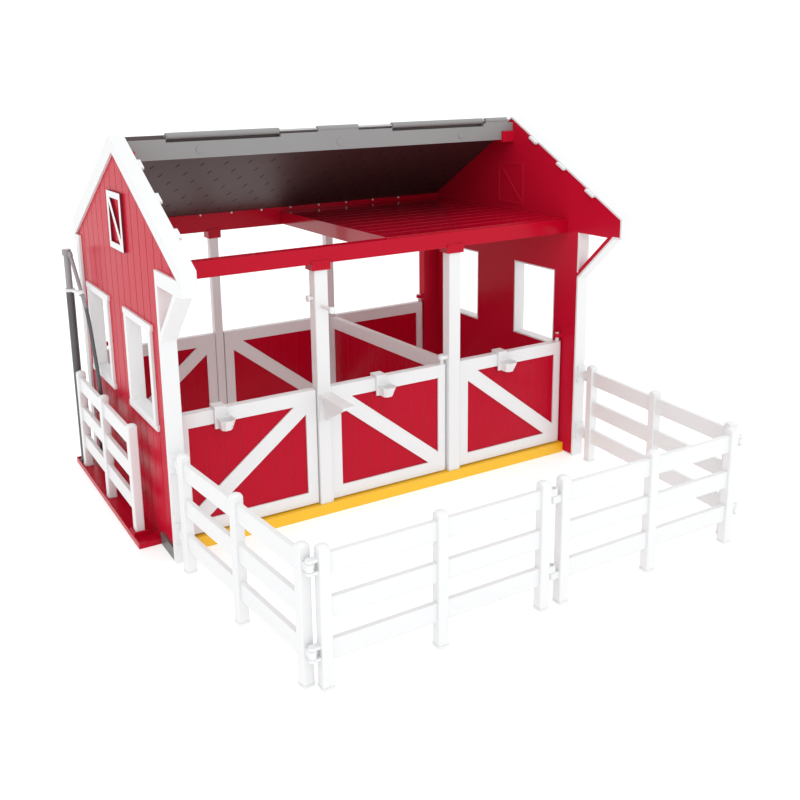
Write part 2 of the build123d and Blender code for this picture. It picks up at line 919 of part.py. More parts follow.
def loft_between(low, low_wide, low_deep, high, high_wide, high_deep):
    """A tapered body between two rectangles with cut corners."""
    faces = []
    for plane, wide, deep in ((low, low_wide, low_deep), (high, high_wide, high_deep)):
        cut = wide / 4
        half = wide / 2
        rear = deep / 2
        faces.append(
            plane * Polygon(
                (-half, rear), (-half, -rear + cut), (-half + cut, -rear),
                (half - cut, -rear), (half, -rear + cut), (half, rear),
                align=None,
            )
        )
    return loft(faces)


def saddle_rack():
    face = -post_deep / 2
    near = face - rack_reach
    left = front_posts[0] - rack_wide / 2
    right = front_posts[0] + rack_wide / 2
    under = rack_top - rack_plate
    foot = rack_top - rack_drop
    top = block(left, right, near, face, under, rack_top)
    web = plate_x(
        [(face, under), (near + rack_plate, under), (face - rack_back, foot), (face, foot)],
        front_posts[0] - rack_web / 2, front_posts[0] + rack_web / 2,
    )
    rear = block(left, right, face - rack_back, face, foot, rack_top)
    return top + web + rear


def peg(start, way, reach, head):
    """A round peg with a flat head, out from a point on a post."""
    foot = Vector(*start)
    out = Vector(*way)
    neck = foot + out * reach
    stem = rod(peg_radius, tuple(foot), tuple(neck))
    return stem + rod(peg_head_radius, tuple(neck), tuple(neck + out * head))


def fittings():
    for name, x in zip(("left", "middle", "right"), bucket_places):
        save(bucket(x), f"{name}_feed_bucket")
    save(saddle_rack(), "saddle_rack")
    side = (front_posts[0] - post_wide / 2, 0, beam_bottom - left_peg_drop)
    save(peg(side, (-1, 0, 0), left_peg_reach, left_peg_head), "left_tack_peg")
    face = (front_posts[0], -post_deep / 2, beam_bottom - front_peg_drop)
    save(peg(face, (0, -1, 0), front_peg_reach, front_peg_head), "front_tack_peg")


# Fence panels and their clips

def ring_knuckle(x, post_face, level):
    """A ring that turns on a fence pin, on an arm from a post."""
    arm = block(
        min(x, post_face), max(x, post_face), -knuckle_wide / 2, knuckle_wide / 2,
        level - knuckle_high / 2, level + knuckle_high / 2,
    )
    ring = Pos(x, 0, level) * Cylinder(knuckle_radius, knuckle_high)
    hole = Pos(x, 0, level) * Cylinder(fence_pin_radius + fence_pin_fit, knuckle_high * 2)
    return arm + ring - hole


def pin_knuckle(x, post_face, level):
    """A vertical pin held between two arms from a post."""
    pin_half = knuckle_high / 2 + knuckle_gap
    body = Pos(x, 0, level) * Cylinder(fence_pin_radius, 2 * (pin_half + knuckle_arm))
    for low in (level - pin_half - knuckle_arm, level + pin_half):
        high = low + knuckle_arm
        body = body + block(
            min(x, post_face), max(x, post_face), -knuckle_wide / 2, knuckle_wide / 2, low, high
        )
        body = body + Pos(x, 0, (low + high) / 2) * Cylinder(knuckle_radius, knuckle_arm)
    return body


def fence_posts():
    """Places of the three posts along a panel."""
    return [fence_reach, fence_pivots / 2, fence_pivots - fence_reach]


def fence_body():
    """Three domed posts and three rails, along X from the first pivot."""
    half = fence_post_wide / 2
    body = None
    for x in fence_posts():
        shaft = Pos(x, 0, 0) * extrude(
            RectangleRounded(fence_post_wide, fence_post_wide, fence_post_round), fence_high
        )
        envelope = block(x - half, x + half, -half, half, 0, fence_high - fence_dome)
        envelope = envelope + Pos(x, 0, fence_high - fence_dome) * Sphere(fence_dome)
        foot = Pos(x, 0, 0) * extrude(
            RectangleRounded(fence_foot, fence_foot, fence_foot_round), fence_foot_high
        )
        post = (shaft & envelope) + foot
        body = post if body is None else body + post
    start, _, end = fence_posts()
    for top in rail_tops:
        body = body + block(start, end, -rail_thick / 2, rail_thick / 2, top - rail_high, top)
    return body


def fence_panel(far_shift):
    """A hinged panel: pins at its first end and rings at its far end."""
    body = fence_body()
    half = fence_post_wide / 2
    near_face = fence_reach - half
    far_face = fence_pivots - fence_reach + half
    for level in (fence_level_low, fence_level_top):
        body = body + pin_knuckle(0, near_face, level)
        body = body + ring_knuckle(fence_pivots, far_face, level + far_shift)
    return body


def paddock():
    turn_side = -90 + degrees(fence_lean)
    stack = (knuckle_high + knuckle_gap) / 2
    side = Pos(-clip_x, clip_y, foot_gap) * Rot(0, 0, turn_side) * fence_panel(0)
    save(side, "left_fence_panel")
    save(other_side(side), "right_fence_panel")
    save(Pos(-corner_x, corner_y, foot_gap) * fence_panel(stack), "front_left_fence_panel")
    mate = Pos(-corner_x, corner_y, foot_gap) * fence_panel(-stack)
    save(other_side(mate), "front_right_fence_panel")
    clips = None
    for level in (fence_level_low + foot_gap, fence_level_top + foot_gap):
        plate = block(
            -clip_plate_wide / 2, clip_plate_wide / 2,
            clip_reach - clip_plate_thick, clip_reach,
            level - clip_plate_high / 2, level + clip_plate_high / 2,
        )
        turned = Rot(0, 0, -90) * ring_knuckle(0, -clip_reach + clip_plate_thick, level)
        clip = plate + turned
        clips = clip if clips is None else clips + clip
    left = Pos(-clip_x, clip_y, 0) * clips
    save(left, "left_wall_clips")
    save(other_side(left), "right_wall_clips")


# Wash side, on the outside of the left gable

def wash_tray():
    """A lipped tray that reaches in to the red panel, with a socket for one fence foot."""
    outer = -half_length - tray_wide
    strip = wall_back - back_strip
    tray = block(outer, -half_length, tray_front, tray_back, 0, tray_thick + tray_lip_high)
    tray = tray + block(-half_length, -panel_out, tray_front, strip, 0, tray_thick + tray_lip_high)
    tray = tray - block(
        outer + tray_lip, -panel_out, tray_front + tray_lip, tray_back - tray_lip,
        tray_thick, tray_thick + tray_lip_high,
    )
    post_x = -half_length - wash_fence_out
    post_y = wash_fence_front + fence_reach
    half = tray_socket_wide / 2
    pocket = fence_foot / 2 + tray_socket_gap
    top = tray_thick + tray_socket_high
    collar = block(post_x - half, post_x + half, post_y - half, post_y + half, tray_thick, top)
    hole = block(post_x - pocket, post_x + pocket, post_y - pocket, post_y + pocket, tray_thick, top)
    return tray + (collar - hole)


def wash_side():
    save(wash_tray(), "wash_tray")

    fence = Pos(-half_length - wash_fence_out, wash_fence_front, tray_thick) * Rot(0, 0, 90) * fence_body()
    save(fence, "wash_fence")

    pole_x = -half_length - pole_out
    pole = rod(pole_foot_radius, (pole_x, pole_back, tray_thick), (pole_x, pole_back, tray_thick + pole_foot_high))
    pole = pole + rod(pole_radius, (pole_x, pole_back, tray_thick), (pole_x, pole_back, pole_shoulder))
    pole = pole + rod(pole_top_radius, (pole_x, pole_back, pole_shoulder), (pole_x, pole_back, pole_top))
    save(pole, "wash_pole")

    points = hose_points()
    first = points[0]
    heading = (points[1] - first).normalized()
    cap = rod(pole_cap_radius, (pole_x, pole_back, pole_top), (pole_x, pole_back, pole_top + pole_cap_high))
    outlet_start = first - heading * outlet_long
    cap = cap + rod(outlet_radius, tuple(outlet_start), tuple(first))
    save(cap, "pole_cap")

    hose, hold_point, hold_heading = hose_tube()
    save(hose, "hose")

    collar = rod(collar_radius, (pole_x, pole_back, pole_shoulder), (pole_x, pole_back, pole_shoulder + collar_high))
    hold_radius = hose_radius + hose_clip_gap
    ring_start = hold_point - hold_heading * (hose_clip_long / 2)
    ring_end = hold_point + hold_heading * (hose_clip_long / 2)
    ring = rod(hold_radius + hose_clip_wall, tuple(ring_start), tuple(ring_end))
    arm = arm_between(pole_x, pole_back, hold_point.X, hold_point.Y)
    bore = rod(pole_top_radius + collar_fit, (pole_x, pole_back, 0), (pole_x, pole_back, ridge_height))
    through = rod(
        hold_radius,
        tuple(hold_point - hold_heading * hose_clip_long * 2),
        tuple(hold_point + hold_heading * hose_clip_long * 2),
    )
    save(collar + ring + arm - bore - through, "pole_clip")

    last = points[-1]
    lean = (last - points[-2]).normalized()
    top_face = Plane(origin=tuple(last), z_dir=tuple(lean)) * Circle(nozzle_radius)
    tip = last + lean * nozzle_long
    tip_face = Plane(origin=tuple(tip), z_dir=tuple(lean)) * Circle(nozzle_tip_radius)
    save(loft([top_face.face(), tip_face.face()]), "hose_nozzle")


def arm_between(x0, y0, x1, y1):
    """A flat arm at the height of the collar, from the pole to the hose."""
    reach = hypot(x1 - x0, y1 - y0)
    turn = degrees(atan2(y1 - y0, x1 - x0))
    bar = block(0, reach, -arm_wide / 2, arm_wide / 2, 0, collar_high)
    return Pos(x0, y0, pole_shoulder) * Rot(0, 0, turn) * bar


def hose_points():
    """The hose's points, placed from the top of the wash pole."""
    top = Vector(-half_length - pole_out, pole_back, pole_top)
    return [top + Vector(*step) for step in hose_route]


def hose_tube():
    """The hose as straight runs and tangent arcs, and where its clip holds it."""
    points = hose_points()
    radii = []
    for before, here, after in zip(points, points[1:], points[2:]):
        first_run = here - before
        next_run = after - here
        turn = first_run.get_angle(next_run)
        shorter = min(first_run.length, next_run.length)
        radii.append(0.45 * shorter / tan(radians(turn) / 2))
    print("hose radii", [round(r, 1) for r in radii])
    path = FilletPolyline(*points, radius=radii)
    start = Plane(origin=points[0], z_dir=points[1] - points[0])
    tube = sweep(start * Circle(hose_radius), path=path)
    share_of_volume = tube.volume / (pi * hose_radius**2 * path.length)
    print("hose length", round(path.length, 1), "volume over section times length", round(share_of_volume, 4))
    target = pole_shoulder + collar_high / 2
    share = min((k / hose_steps for k in range(hose_steps + 1)), key=lambda t: abs((path @ t).Z - target))
    return tube, path @ share, path % share


gable_walls()
building_frame()
roof()
loft_deck()
divider()
doors()
fittings()
paddock()
wash_side()
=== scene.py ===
from math import atan2, cos, radians, sin

import bpy
from mathutils import Matrix, Vector


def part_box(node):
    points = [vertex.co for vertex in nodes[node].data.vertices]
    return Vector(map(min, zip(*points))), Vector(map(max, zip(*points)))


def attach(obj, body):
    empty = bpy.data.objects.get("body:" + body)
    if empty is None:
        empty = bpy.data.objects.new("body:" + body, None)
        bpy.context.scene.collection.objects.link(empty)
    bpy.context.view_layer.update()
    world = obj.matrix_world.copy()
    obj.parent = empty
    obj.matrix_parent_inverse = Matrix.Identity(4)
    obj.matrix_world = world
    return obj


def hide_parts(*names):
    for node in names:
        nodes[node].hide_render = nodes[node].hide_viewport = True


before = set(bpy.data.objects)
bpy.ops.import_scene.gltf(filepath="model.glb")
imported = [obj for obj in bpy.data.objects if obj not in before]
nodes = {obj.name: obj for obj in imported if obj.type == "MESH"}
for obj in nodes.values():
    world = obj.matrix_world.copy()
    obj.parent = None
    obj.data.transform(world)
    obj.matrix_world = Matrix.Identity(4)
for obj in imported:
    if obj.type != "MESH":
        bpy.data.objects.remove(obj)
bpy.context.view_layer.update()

# Camera, in the object's own frame
CAMERA_PLACE = Vector((-0.4616, -0.762, 0.4131))
CAMERA_HEADING = radians(28.9)     # turned from straight ahead towards +X
CAMERA_TILT = radians(13.1)        # looks down
CAMERA_ROLL = radians(-1.3)
CAMERA_LENS = 41.9
CAMERA_SENSOR = 36
CAMERA_SHIFT = (0.0606, -0.125)
CAMERA_NEAR = 0.01

# Lamps: name, place, what it points at, size and power
LAMPS = [
    ("key", (-0.9, -1.7, 1.5), (0, 0, 0.15), 1.2, 7),
    ("fill", (1.5, -1.2, 1.0), (0, 0, 0.15), 1.2, 1.5),
    ("top", (0.0, -0.2, 2.2), (0, 0, 0.1), 1.5, 4),
]
WORLD_LIGHT = 1.03
FLOOR_REACH = 12
FLOOR_GREY = 0.72
FLOOR_ROUGH = 0.8
FLOOR_GLOW = 0.42           # keeps the pale floor white round the object's feet

# Roof. The hinge's place is read from the pack, and the other sizes are those of the part
HINGE_LOW, HINGE_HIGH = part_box("roof_hinge_pin")
HINGE_Y = (HINGE_LOW.y + HINGE_HIGH.y) / 2
HINGE_Z = (HINGE_LOW.z + HINGE_HIGH.z) / 2
ROOF_FALL = 0.101
ROOF_RUN = 0.167
ROOF_SLOPE = atan2(ROOF_FALL, ROOF_RUN)
PANEL_THICK = 0.004
PANEL_RISE = 0.0008         # faces of the panels off the plane through the hinge
LEAF_START = 0.0069         # hinge to where the hinged panel is brown

# Slits on the underside of the roof, drawn as thin near-black blocks of painted shade, and shingles on
# its top
SLIT_SIDE_X = -0.212
FIRST_SLIT_RUN = 0.016
SLITS = {
    "Columns": 17,
    "Rows": 9,
    "Column Step": 0.0262,
    "Row Step": 0.019,
    "Stagger": 0.5,
    "Long": 0.0070,
    "Wide": 0.0015,
    "High": 0.0002,
    "Turn": radians(-68),
}
SHINGLE_SIDE_X = -0.2095
SHINGLE_SINK = 0.0001
REAR_SHINGLE_RUN = 0.0165
FRONT_SHINGLE_RUN = 0.0185
SHINGLES = {
    "Columns": 23,
    "Rows": 9,
    "Column Step": 0.0186,
    "Row Step": 0.0195,
    "Stagger": 0.5,
    "Long": 0.0178,
    "Wide": 0.0190,
    "High": 0.0005,
    "Turn": 0.0,
}

# Studs along the top of the back beam
STUD_RADIUS = 0.00125
FIRST_STUD_X = -0.1002
LOFT_GAP = 0.0003           # loft floor to the back beam
STUDS = {"Count": 8, "Step": 0.0379, "Radius": STUD_RADIUS, "Out": 0.0008}

# Grey strip along the foot of the left gable, in front of the wash tray: painted shade standing for the
# white foot trim in shadow
STRIP_INSET = 0.0004
STRIP_THICK = 0.0024
STRIP_FRONT_Y = -0.0176
STRIP_GAP = 0.0003
STRIP_LIFT = 0.0003
STRIP_TOP = 0.012

# The hose's route, as in the part
HOSE_ROUTE = [
    (-0.2482, 0.2455, 0.2385),
    (-0.2464, 0.2366, 0.2212),
    (-0.2450, 0.2275, 0.2045),
    (-0.2437, 0.2165, 0.1895),
    (-0.2430, 0.2085, 0.1710),
    (-0.2429, 0.2015, 0.1500),
    (-0.2430, 0.1925, 0.1280),
    (-0.2432, 0.1840, 0.1060),
    (-0.2435, 0.1820, 0.0840),
    (-0.2439, 0.1865, 0.0640),
    (-0.2440, 0.1910, 0.0450),
]
HOSE_DIAMETER = 0.004
HOSE_LIGHT_ABOVE = (0.186, 0.190)   # the hose turns from dark to light between these heights
POLE_LIGHT_ABOVE = (0.1995, 0.2005)

# Colours
RED = (0.46, 0.001, 0.018, 1)
WALL_RED = (0.52, 0.006, 0.028, 1)
# Bare red side walls of the hatch frames, made darker than the red plastic as painted shade
HATCH_SIDE_SHADED_RED = (0.16, 0.004, 0.010, 1)
WHITE = (0.775, 0.785, 0.79, 1)
YELLOW = (0.88, 0.50, 0.012, 1)
RIDGE_GREY = (0.26, 0.265, 0.265, 1)
# painted shade: the white foot trim of the left gable as it looks in shadow
FOOT_SHADE_GREY = (0.10, 0.10, 0.10, 1)
ROOF_BROWN = (0.058, 0.034, 0.034, 1)
# painted shade inside the roof's slits
SLIT_SHADE_BLACK = (0.012, 0.009, 0.009, 1)
NOZZLE_BLACK = (0.02, 0.02, 0.022, 1)
POLE_LIGHT = (0.30, 0.30, 0.31, 1)
POLE_DARK = (0.085, 0.087, 0.092, 1)
STEEL = (0.5, 0.5, 0.5, 1)

# Surface of moulded plastic
EDGE_GAIN = 5.0             # how quickly a turn of the surface counts as an edge
# share of the edge mask that lightens edges as a painted highlight
EDGE_HIGHLIGHT_SHARE = 0.35
FLAT_LIMIT = 0.7            # a face counts as square to X above this
RAMP_SCALE = 2.5            # takes heights up to 0.4 m into a colour ramp
RAMP_TOP = 0.3


def new_object(name, data):
    """An object in the scene."""
    made = bpy.data.objects.new(name, data)
    bpy.context.scene.collection.objects.link(made)
    return made


def placed(axes, origin):
    """The matrix that takes X, Y and Z to three axes at an origin."""
    matrix = Matrix(axes).transposed().to_4x4()
    matrix.translation = origin
    return matrix


# Node trees

class Tree:
    """Adds and joins nodes in one node tree."""

    def __init__(self, tree):
        self.tree = tree

    def add(self, kind, inputs=None, **settings):
        """Adds a node; an input that is a socket is linked, and any other is a value."""
        node = self.tree.nodes.new(kind)
        for name, value in settings.items():
            setattr(node, name, value)
        for name, value in (inputs or {}).items():
            socket = node.inputs[name]
            if isinstance(value, bpy.types.NodeSocket):
                self.tree.links.new(value, socket)
            else:
                socket.default_value = value
        return node

    def math(self, operation, *values, clamp=False):
        inputs = dict(enumerate(values))
        return self.add("ShaderNodeMath", inputs, operation=operation, use_clamp=clamp).outputs[0]

    def mix(self, factor, first, second, blend="MIX"):
        """Mixes two colours; inputs 6 and 7 and output 2 are the node's colour sockets."""
        inputs = {0: factor, 6: first, 7: second}
        node = self.add("ShaderNodeMix", inputs, data_type="RGBA", blend_type=blend)
        return node.outputs[2]

    def spread(self, value, low, high):
        """Takes a 0 to 1 value to a range."""
        inputs = {"Value": value, "To Min": low, "To Max": high}
        return self.add("ShaderNodeMapRange", inputs).outputs[0]


def new_group(name, inputs, outputs):
    """An empty shader group with named sockets."""
    group = bpy.data.node_groups.new(name, "ShaderNodeTree")
    for label, value in inputs:
        socket = group.interface.new_socket(label, in_out="INPUT", socket_type="NodeSocketFloat")
        socket.default_value = value
    for label, kind in outputs:
        group.interface.new_socket(label, in_out="OUTPUT", socket_type=kind)
    tree = Tree(group)
    source = tree.add("NodeGroupInput")
    result = tree.add("NodeGroupOutput")
    return group, tree, source, result


def moulded_surface_group():
    """Softened edges, fine mould grain, slow flow marks and the edge mask for a painted highlight on
    the edges of moulded plastic.
    """
    group, tree, source, result = new_group(
        "moulded_surface",
        [
            ("Edge Radius", 0.0004),
            ("Grain Scale", 900.0),
            ("Grain Height", 0.00002),
            ("Flow Scale", 9.0),
            ("Flow Height", 0.0003),
        ],
        [
            ("Normal", "NodeSocketVector"),
            ("Flow", "NodeSocketFloat"),
            ("Edge", "NodeSocketFloat"),
        ],
    )
    place = tree.add("ShaderNodeTexCoord").outputs["Object"]
    grain = tree.add(
        "ShaderNodeTexNoise",
        {"Vector": place, "Scale": source.outputs["Grain Scale"], "Detail": 2.0},
    )
    flow = tree.add(
        "ShaderNodeTexNoise",
        {"Vector": place, "Scale": source.outputs["Flow Scale"], "Detail": 4.0},
    )
    soft = tree.add("ShaderNodeBevel", {"Radius": source.outputs["Edge Radius"]}, samples=4)
    plain = tree.add("ShaderNodeNewGeometry")
    facing = tree.add(
        "ShaderNodeVectorMath",
        {0: soft.outputs[0], 1: plain.outputs["Normal"]},
        operation="DOT_PRODUCT",
    )
    turn = tree.math("SUBTRACT", 1.0, facing.outputs["Value"])
    edge = tree.math("MULTIPLY", turn, EDGE_GAIN, clamp=True)
    bumped = soft
    for height, depth in ((flow, "Flow Height"), (grain, "Grain Height")):
        bumped = tree.add(
            "ShaderNodeBump",
            {
                "Height": height.outputs[0],
                "Distance": source.outputs[depth],
                "Normal": bumped.outputs[0],
            },
        )
    for label, socket in (
        ("Normal", bumped.outputs[0]),
        ("Flow", flow.outputs[0]),
        ("Edge", edge),
    ):
        tree.tree.links.new(socket, result.inputs[label])
    return group


def shade(tone, factor):
    """A colour made darker or lighter."""
    return tuple(min(1.0, part * factor) for part in tone[:3]) + (1.0,)


SURFACE = moulded_surface_group()


def moulded(name, paint, rough=(0.25, 0.4), coat=0.0, coat_rough=0.1, specular=0.5, edge_light=1.25,
            flow_change=0.06, flow_height=0.0003, edge_radius=0.0004):
    """A moulded plastic: its colour drifts a little, its edges are lightened as a painted highlight and
    its gloss varies.

    The paint is a colour, or a function that builds one from the surface's place or facing.
    """
    material = bpy.data.materials.new(name)
    material.use_nodes = True
    material.node_tree.nodes.clear()
    tree = Tree(material.node_tree)
    surface = tree.add("ShaderNodeGroup", node_tree=SURFACE)
    surface.inputs["Flow Height"].default_value = flow_height
    surface.inputs["Edge Radius"].default_value = edge_radius
    if callable(paint):
        base = paint(tree)
    else:
        darker = shade(paint, 1 - flow_change)
        lighter = shade(paint, 1 + flow_change)
        base = tree.mix(surface.outputs["Flow"], darker, lighter)
    # Edges are lightened towards grey: a painted highlight
    edge_highlight = tree.math("MULTIPLY", surface.outputs["Edge"], EDGE_HIGHLIGHT_SHARE)
    lift = edge_light - 1
    highlighted = tree.mix(edge_highlight, base, (lift, lift, lift, 1), blend="SCREEN")
    gloss = tree.spread(surface.outputs["Flow"], rough[0], rough[1])
    shader = tree.add(
        "ShaderNodeBsdfPrincipled",
        {
            "Base Color": highlighted,
            "Roughness": gloss,
            "Normal": surface.outputs["Normal"],
            "Specular IOR Level": specular,
            "Coat Weight": coat,
            "Coat Roughness": coat_rough,
        },
    )
    out = tree.add("ShaderNodeOutputMaterial")
    tree.tree.links.new(shader.outputs[0], out.inputs[0])
    return material


def colour_by_side(outer, shaded_side):
    """Colour that is painted on the faces square to X alone; the side walls stay bare red, made darker
    as painted shade.
    """
    def build(tree):
        facing = tree.add("ShaderNodeTexCoord").outputs["Normal"]
        across = tree.add("ShaderNodeSeparateXYZ", {0: facing}).outputs["X"]
        flat = tree.math("GREATER_THAN", tree.math("ABSOLUTE", across), FLAT_LIMIT)
        return tree.mix(flat, shaded_side, outer)
    return build


def colour_near_hinge(away, near):
    """The hinge barrels of the front roof panel have the colour of the ridge beam."""
    def build(tree):
        place = tree.add("ShaderNodeTexCoord").outputs["Object"]
        parts = tree.add("ShaderNodeSeparateXYZ", {0: place})
        run = tree.math("SUBTRACT", parts.outputs["Y"], HINGE_Y)
        drop = tree.math("SUBTRACT", HINGE_Z, parts.outputs["Z"])
        level_part = tree.math("MULTIPLY", run, cos(ROOF_SLOPE))
        fall_part = tree.math("MULTIPLY", drop, sin(ROOF_SLOPE))
        reach = tree.math("ADD", level_part, fall_part)
        beyond = tree.math("GREATER_THAN", reach, LEAF_START)
        return tree.mix(beyond, near, away)
    return build


def colour_by_height(below, above, change):
    """Colour that changes between two heights, such as a pole with a lighter top."""
    def build(tree):
        place = tree.add("ShaderNodeTexCoord").outputs["Object"]
        height = tree.add("ShaderNodeSeparateXYZ", {0: place}).outputs["Z"]
        scaled = tree.math("MULTIPLY", height, RAMP_SCALE)
        ramp = tree.add("ShaderNodeValToRGB", {0: scaled})
        stops = ramp.color_ramp.elements
        stops[0].position, stops[0].color = 0.0, below
        stops[1].position, stops[1].color = RAMP_TOP * RAMP_SCALE, above
        for level, tone in zip(change, (below, above)):
            stops.new(level * RAMP_SCALE).color = tone
        return ramp.outputs[0]
    return build


red_gloss = moulded("red_gloss", RED, rough=(0.16, 0.3), specular=0.14, edge_light=1.1)
loft_red = moulded("loft_red", RED, rough=(0.08, 0.16), specular=0.4, coat=0.12, coat_rough=0.04)
wall_red = moulded("wall_red", WALL_RED, rough=(0.16, 0.3), specular=0.06, edge_light=1.08)
white_satin = moulded("white_satin", WHITE, rough=(0.3, 0.45), flow_change=0.015)
# Hatch frames: white painted faces, side walls in a darker red as painted shade
frame_paint = moulded(
    "frame_paint", colour_by_side(WHITE, HATCH_SIDE_SHADED_RED), rough=(0.3, 0.45), edge_radius=0.0002,
)
yellow_gloss = moulded("yellow_gloss", YELLOW, rough=(0.25, 0.38), flow_change=0.03)
ridge_grey = moulded("ridge_grey", RIDGE_GREY, rough=(0.28, 0.42), flow_change=0.08)
roof_brown = moulded("roof_brown", ROOF_BROWN, rough=(0.35, 0.55), flow_change=0.15, flow_height=0.0006)
hinged_roof = moulded(
    "hinged_roof", colour_near_hinge(ROOF_BROWN, RIDGE_GREY), rough=(0.35, 0.5), flow_height=0.0006,
)
# Near-black blocks of painted shade in the roof's slits
slit_shade = moulded("slit_shade", SLIT_SHADE_BLACK, rough=(0.6, 0.8))
pole_grey = moulded(
    "pole_grey", colour_by_height(POLE_DARK, POLE_LIGHT, POLE_LIGHT_ABOVE), rough=(0.25, 0.4),
)
hose_vinyl = moulded(
    "hose_vinyl", colour_by_height(POLE_DARK, POLE_LIGHT, HOSE_LIGHT_ABOVE), rough=(0.3, 0.45),
)
# Strip of painted shade at the foot of the left gable
foot_shade_grey = moulded("foot_shade_grey", FOOT_SHADE_GREY, rough=(0.25, 0.45), flow_change=0.3)
nozzle_black = moulded("nozzle_black", NOZZLE_BLACK, rough=(0.35, 0.5))
wire_steel = moulded("wire_steel", STEEL, rough=(0.25, 0.35))
wire_steel.node_tree.nodes["Principled BSDF"].inputs["Metallic"].default_value = 1.0


def dress(names, material):
    """Gives CAD nodes their finish."""
    for name in names:
        mesh = nodes[name].data
        mesh.materials.clear()
        mesh.materials.append(material)


def named(*words):
    """CAD nodes whose names end with one of some words."""
    return [name for name in nodes if any(name.endswith(word) for word in words)]


dress(named("wall_panel"), wall_red)
dress(named("door_panel", "divider_panel", "header_beam", "wash_tray"), red_gloss)
dress(["loft_floor"], loft_red)
dress(
    named(
        "wall_trim", "window_frame", "wall_clips", "post_left", "post_right",
        "door_frame", "divider_frame", "saddle_rack", "tack_peg", "fence", "fence_panel",
        "pole_clip", "feed_bucket",
    ),
    white_satin,
)
dress(named("hatch_frame"), frame_paint)
dress(named("base_rail"), yellow_gloss)
dress(["ridge_beam"], ridge_grey)
dress(["rear_roof_panel"], roof_brown)
dress(["front_roof_panel"], hinged_roof)
dress(["wash_pole", "pole_cap"], pole_grey)
dress(["roof_hinge_pin"], wire_steel)
dress(["hose_nozzle"], nozzle_black)


# Hose

def hose():
    """The hose as a cord along its route."""
    curve = bpy.data.curves.new("wash_hose", "CURVE")
    curve.dimensions = "3D"
    curve.bevel_depth = HOSE_DIAMETER / 2
    curve.bevel_resolution = 5
    curve.resolution_u = 10
    curve.use_fill_caps = True
    line = curve.splines.new("NURBS")
    line.points.add(len(HOSE_ROUTE) - 1)
    for point, place in zip(line.points, HOSE_ROUTE):
        point.co = (*place, 1)
    line.order_u = 3
    line.use_endpoint_u = True
    curve.materials.append(hose_vinyl)
    piece = new_object("wash_hose", curve)
    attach(piece, "stable")
    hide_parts("hose")


hose()


# Repeated roof details

def new_pattern(name, counts, measures):
    """An empty geometry group with named sockets: its helper, its inputs and its result node."""
    tree = bpy.data.node_groups.new(name, "GeometryNodeTree")
    tree.interface.new_socket("Geometry", in_out="OUTPUT", socket_type="NodeSocketGeometry")
    tree.interface.new_socket("Geometry", in_out="INPUT", socket_type="NodeSocketGeometry")
    for label in counts:
        tree.interface.new_socket(label, in_out="INPUT", socket_type="NodeSocketInt")
    for label in measures:
        tree.interface.new_socket(label, in_out="INPUT", socket_type="NodeSocketFloat")
    make = Tree(tree)
    source = make.add("NodeGroupInput")
    result = make.add("NodeGroupOutput")
    return make, source.outputs, result


def finish_pattern(make, copies, material, result):
    """Makes the copies real and paints them."""
    real = make.add("GeometryNodeRealizeInstances", {0: copies.outputs[0]})
    painted = make.add("GeometryNodeSetMaterial", {"Geometry": real.outputs[0], "Material": material})
    make.tree.links.new(painted.outputs[0], result.inputs[0])
    return make.tree


def grid_tree(name, material):
    """Small blocks in staggered rows on a flat sheet, laid along its X and Y."""
    make, want, result = new_pattern(
        name,
        ("Columns", "Rows"),
        ("Column Step", "Row Step", "Stagger", "Long", "Wide", "High", "Turn"),
    )
    count = make.math("MULTIPLY", want["Columns"], want["Rows"])
    line = make.add("GeometryNodeMeshLine", {"Count": count})
    number = make.add("GeometryNodeInputIndex").outputs[0]
    row = make.math("FLOOR", make.math("DIVIDE", number, want["Columns"]))
    column = make.math("SUBTRACT", number, make.math("MULTIPLY", row, want["Columns"]))
    odd = make.math("MODULO", row, 2.0)
    across = make.math("ADD", column, make.math("MULTIPLY", odd, want["Stagger"]))
    place_x = make.math("MULTIPLY", across, want["Column Step"])
    place_y = make.math("MULTIPLY", row, want["Row Step"])
    place = make.add("ShaderNodeCombineXYZ", {0: place_x, 1: place_y})
    moved = make.add(
        "GeometryNodeSetPosition", {"Geometry": line.outputs[0], "Position": place.outputs[0]}
    )
    size = make.add("ShaderNodeCombineXYZ", {0: want["Long"], 1: want["Wide"], 2: want["High"]})
    block = make.add("GeometryNodeMeshCube", {"Size": size.outputs[0]})
    turn = make.add("ShaderNodeCombineXYZ", {2: want["Turn"]})
    copies = make.add(
        "GeometryNodeInstanceOnPoints",
        {"Points": moved.outputs[0], "Instance": block.outputs[0], "Rotation": turn.outputs[0]},
    )
    return finish_pattern(make, copies, material, result)


def stud_tree(name, material):
    """A straight row of round studs with domed ends."""
    make, want, result = new_pattern(name, ("Count",), ("Step", "Radius", "Out"))
    step = make.add("ShaderNodeCombineXYZ", {0: want["Step"]})
    line = make.add("GeometryNodeMeshLine", {"Count": want["Count"], "Offset": step.outputs[0]})
    ball = make.add(
        "GeometryNodeMeshUVSphere", {"Segments": 20, "Rings": 12, "Radius": want["Radius"]}
    )
    flat = make.math("DIVIDE", want["Out"], want["Radius"])
    scale = make.add("ShaderNodeCombineXYZ", {0: 1.0, 1: flat, 2: 1.0})
    copies = make.add(
        "GeometryNodeInstanceOnPoints",
        {"Points": line.outputs[0], "Instance": ball.outputs[0], "Scale": scale.outputs[0]},
    )
    return finish_pattern(make, copies, material, result)


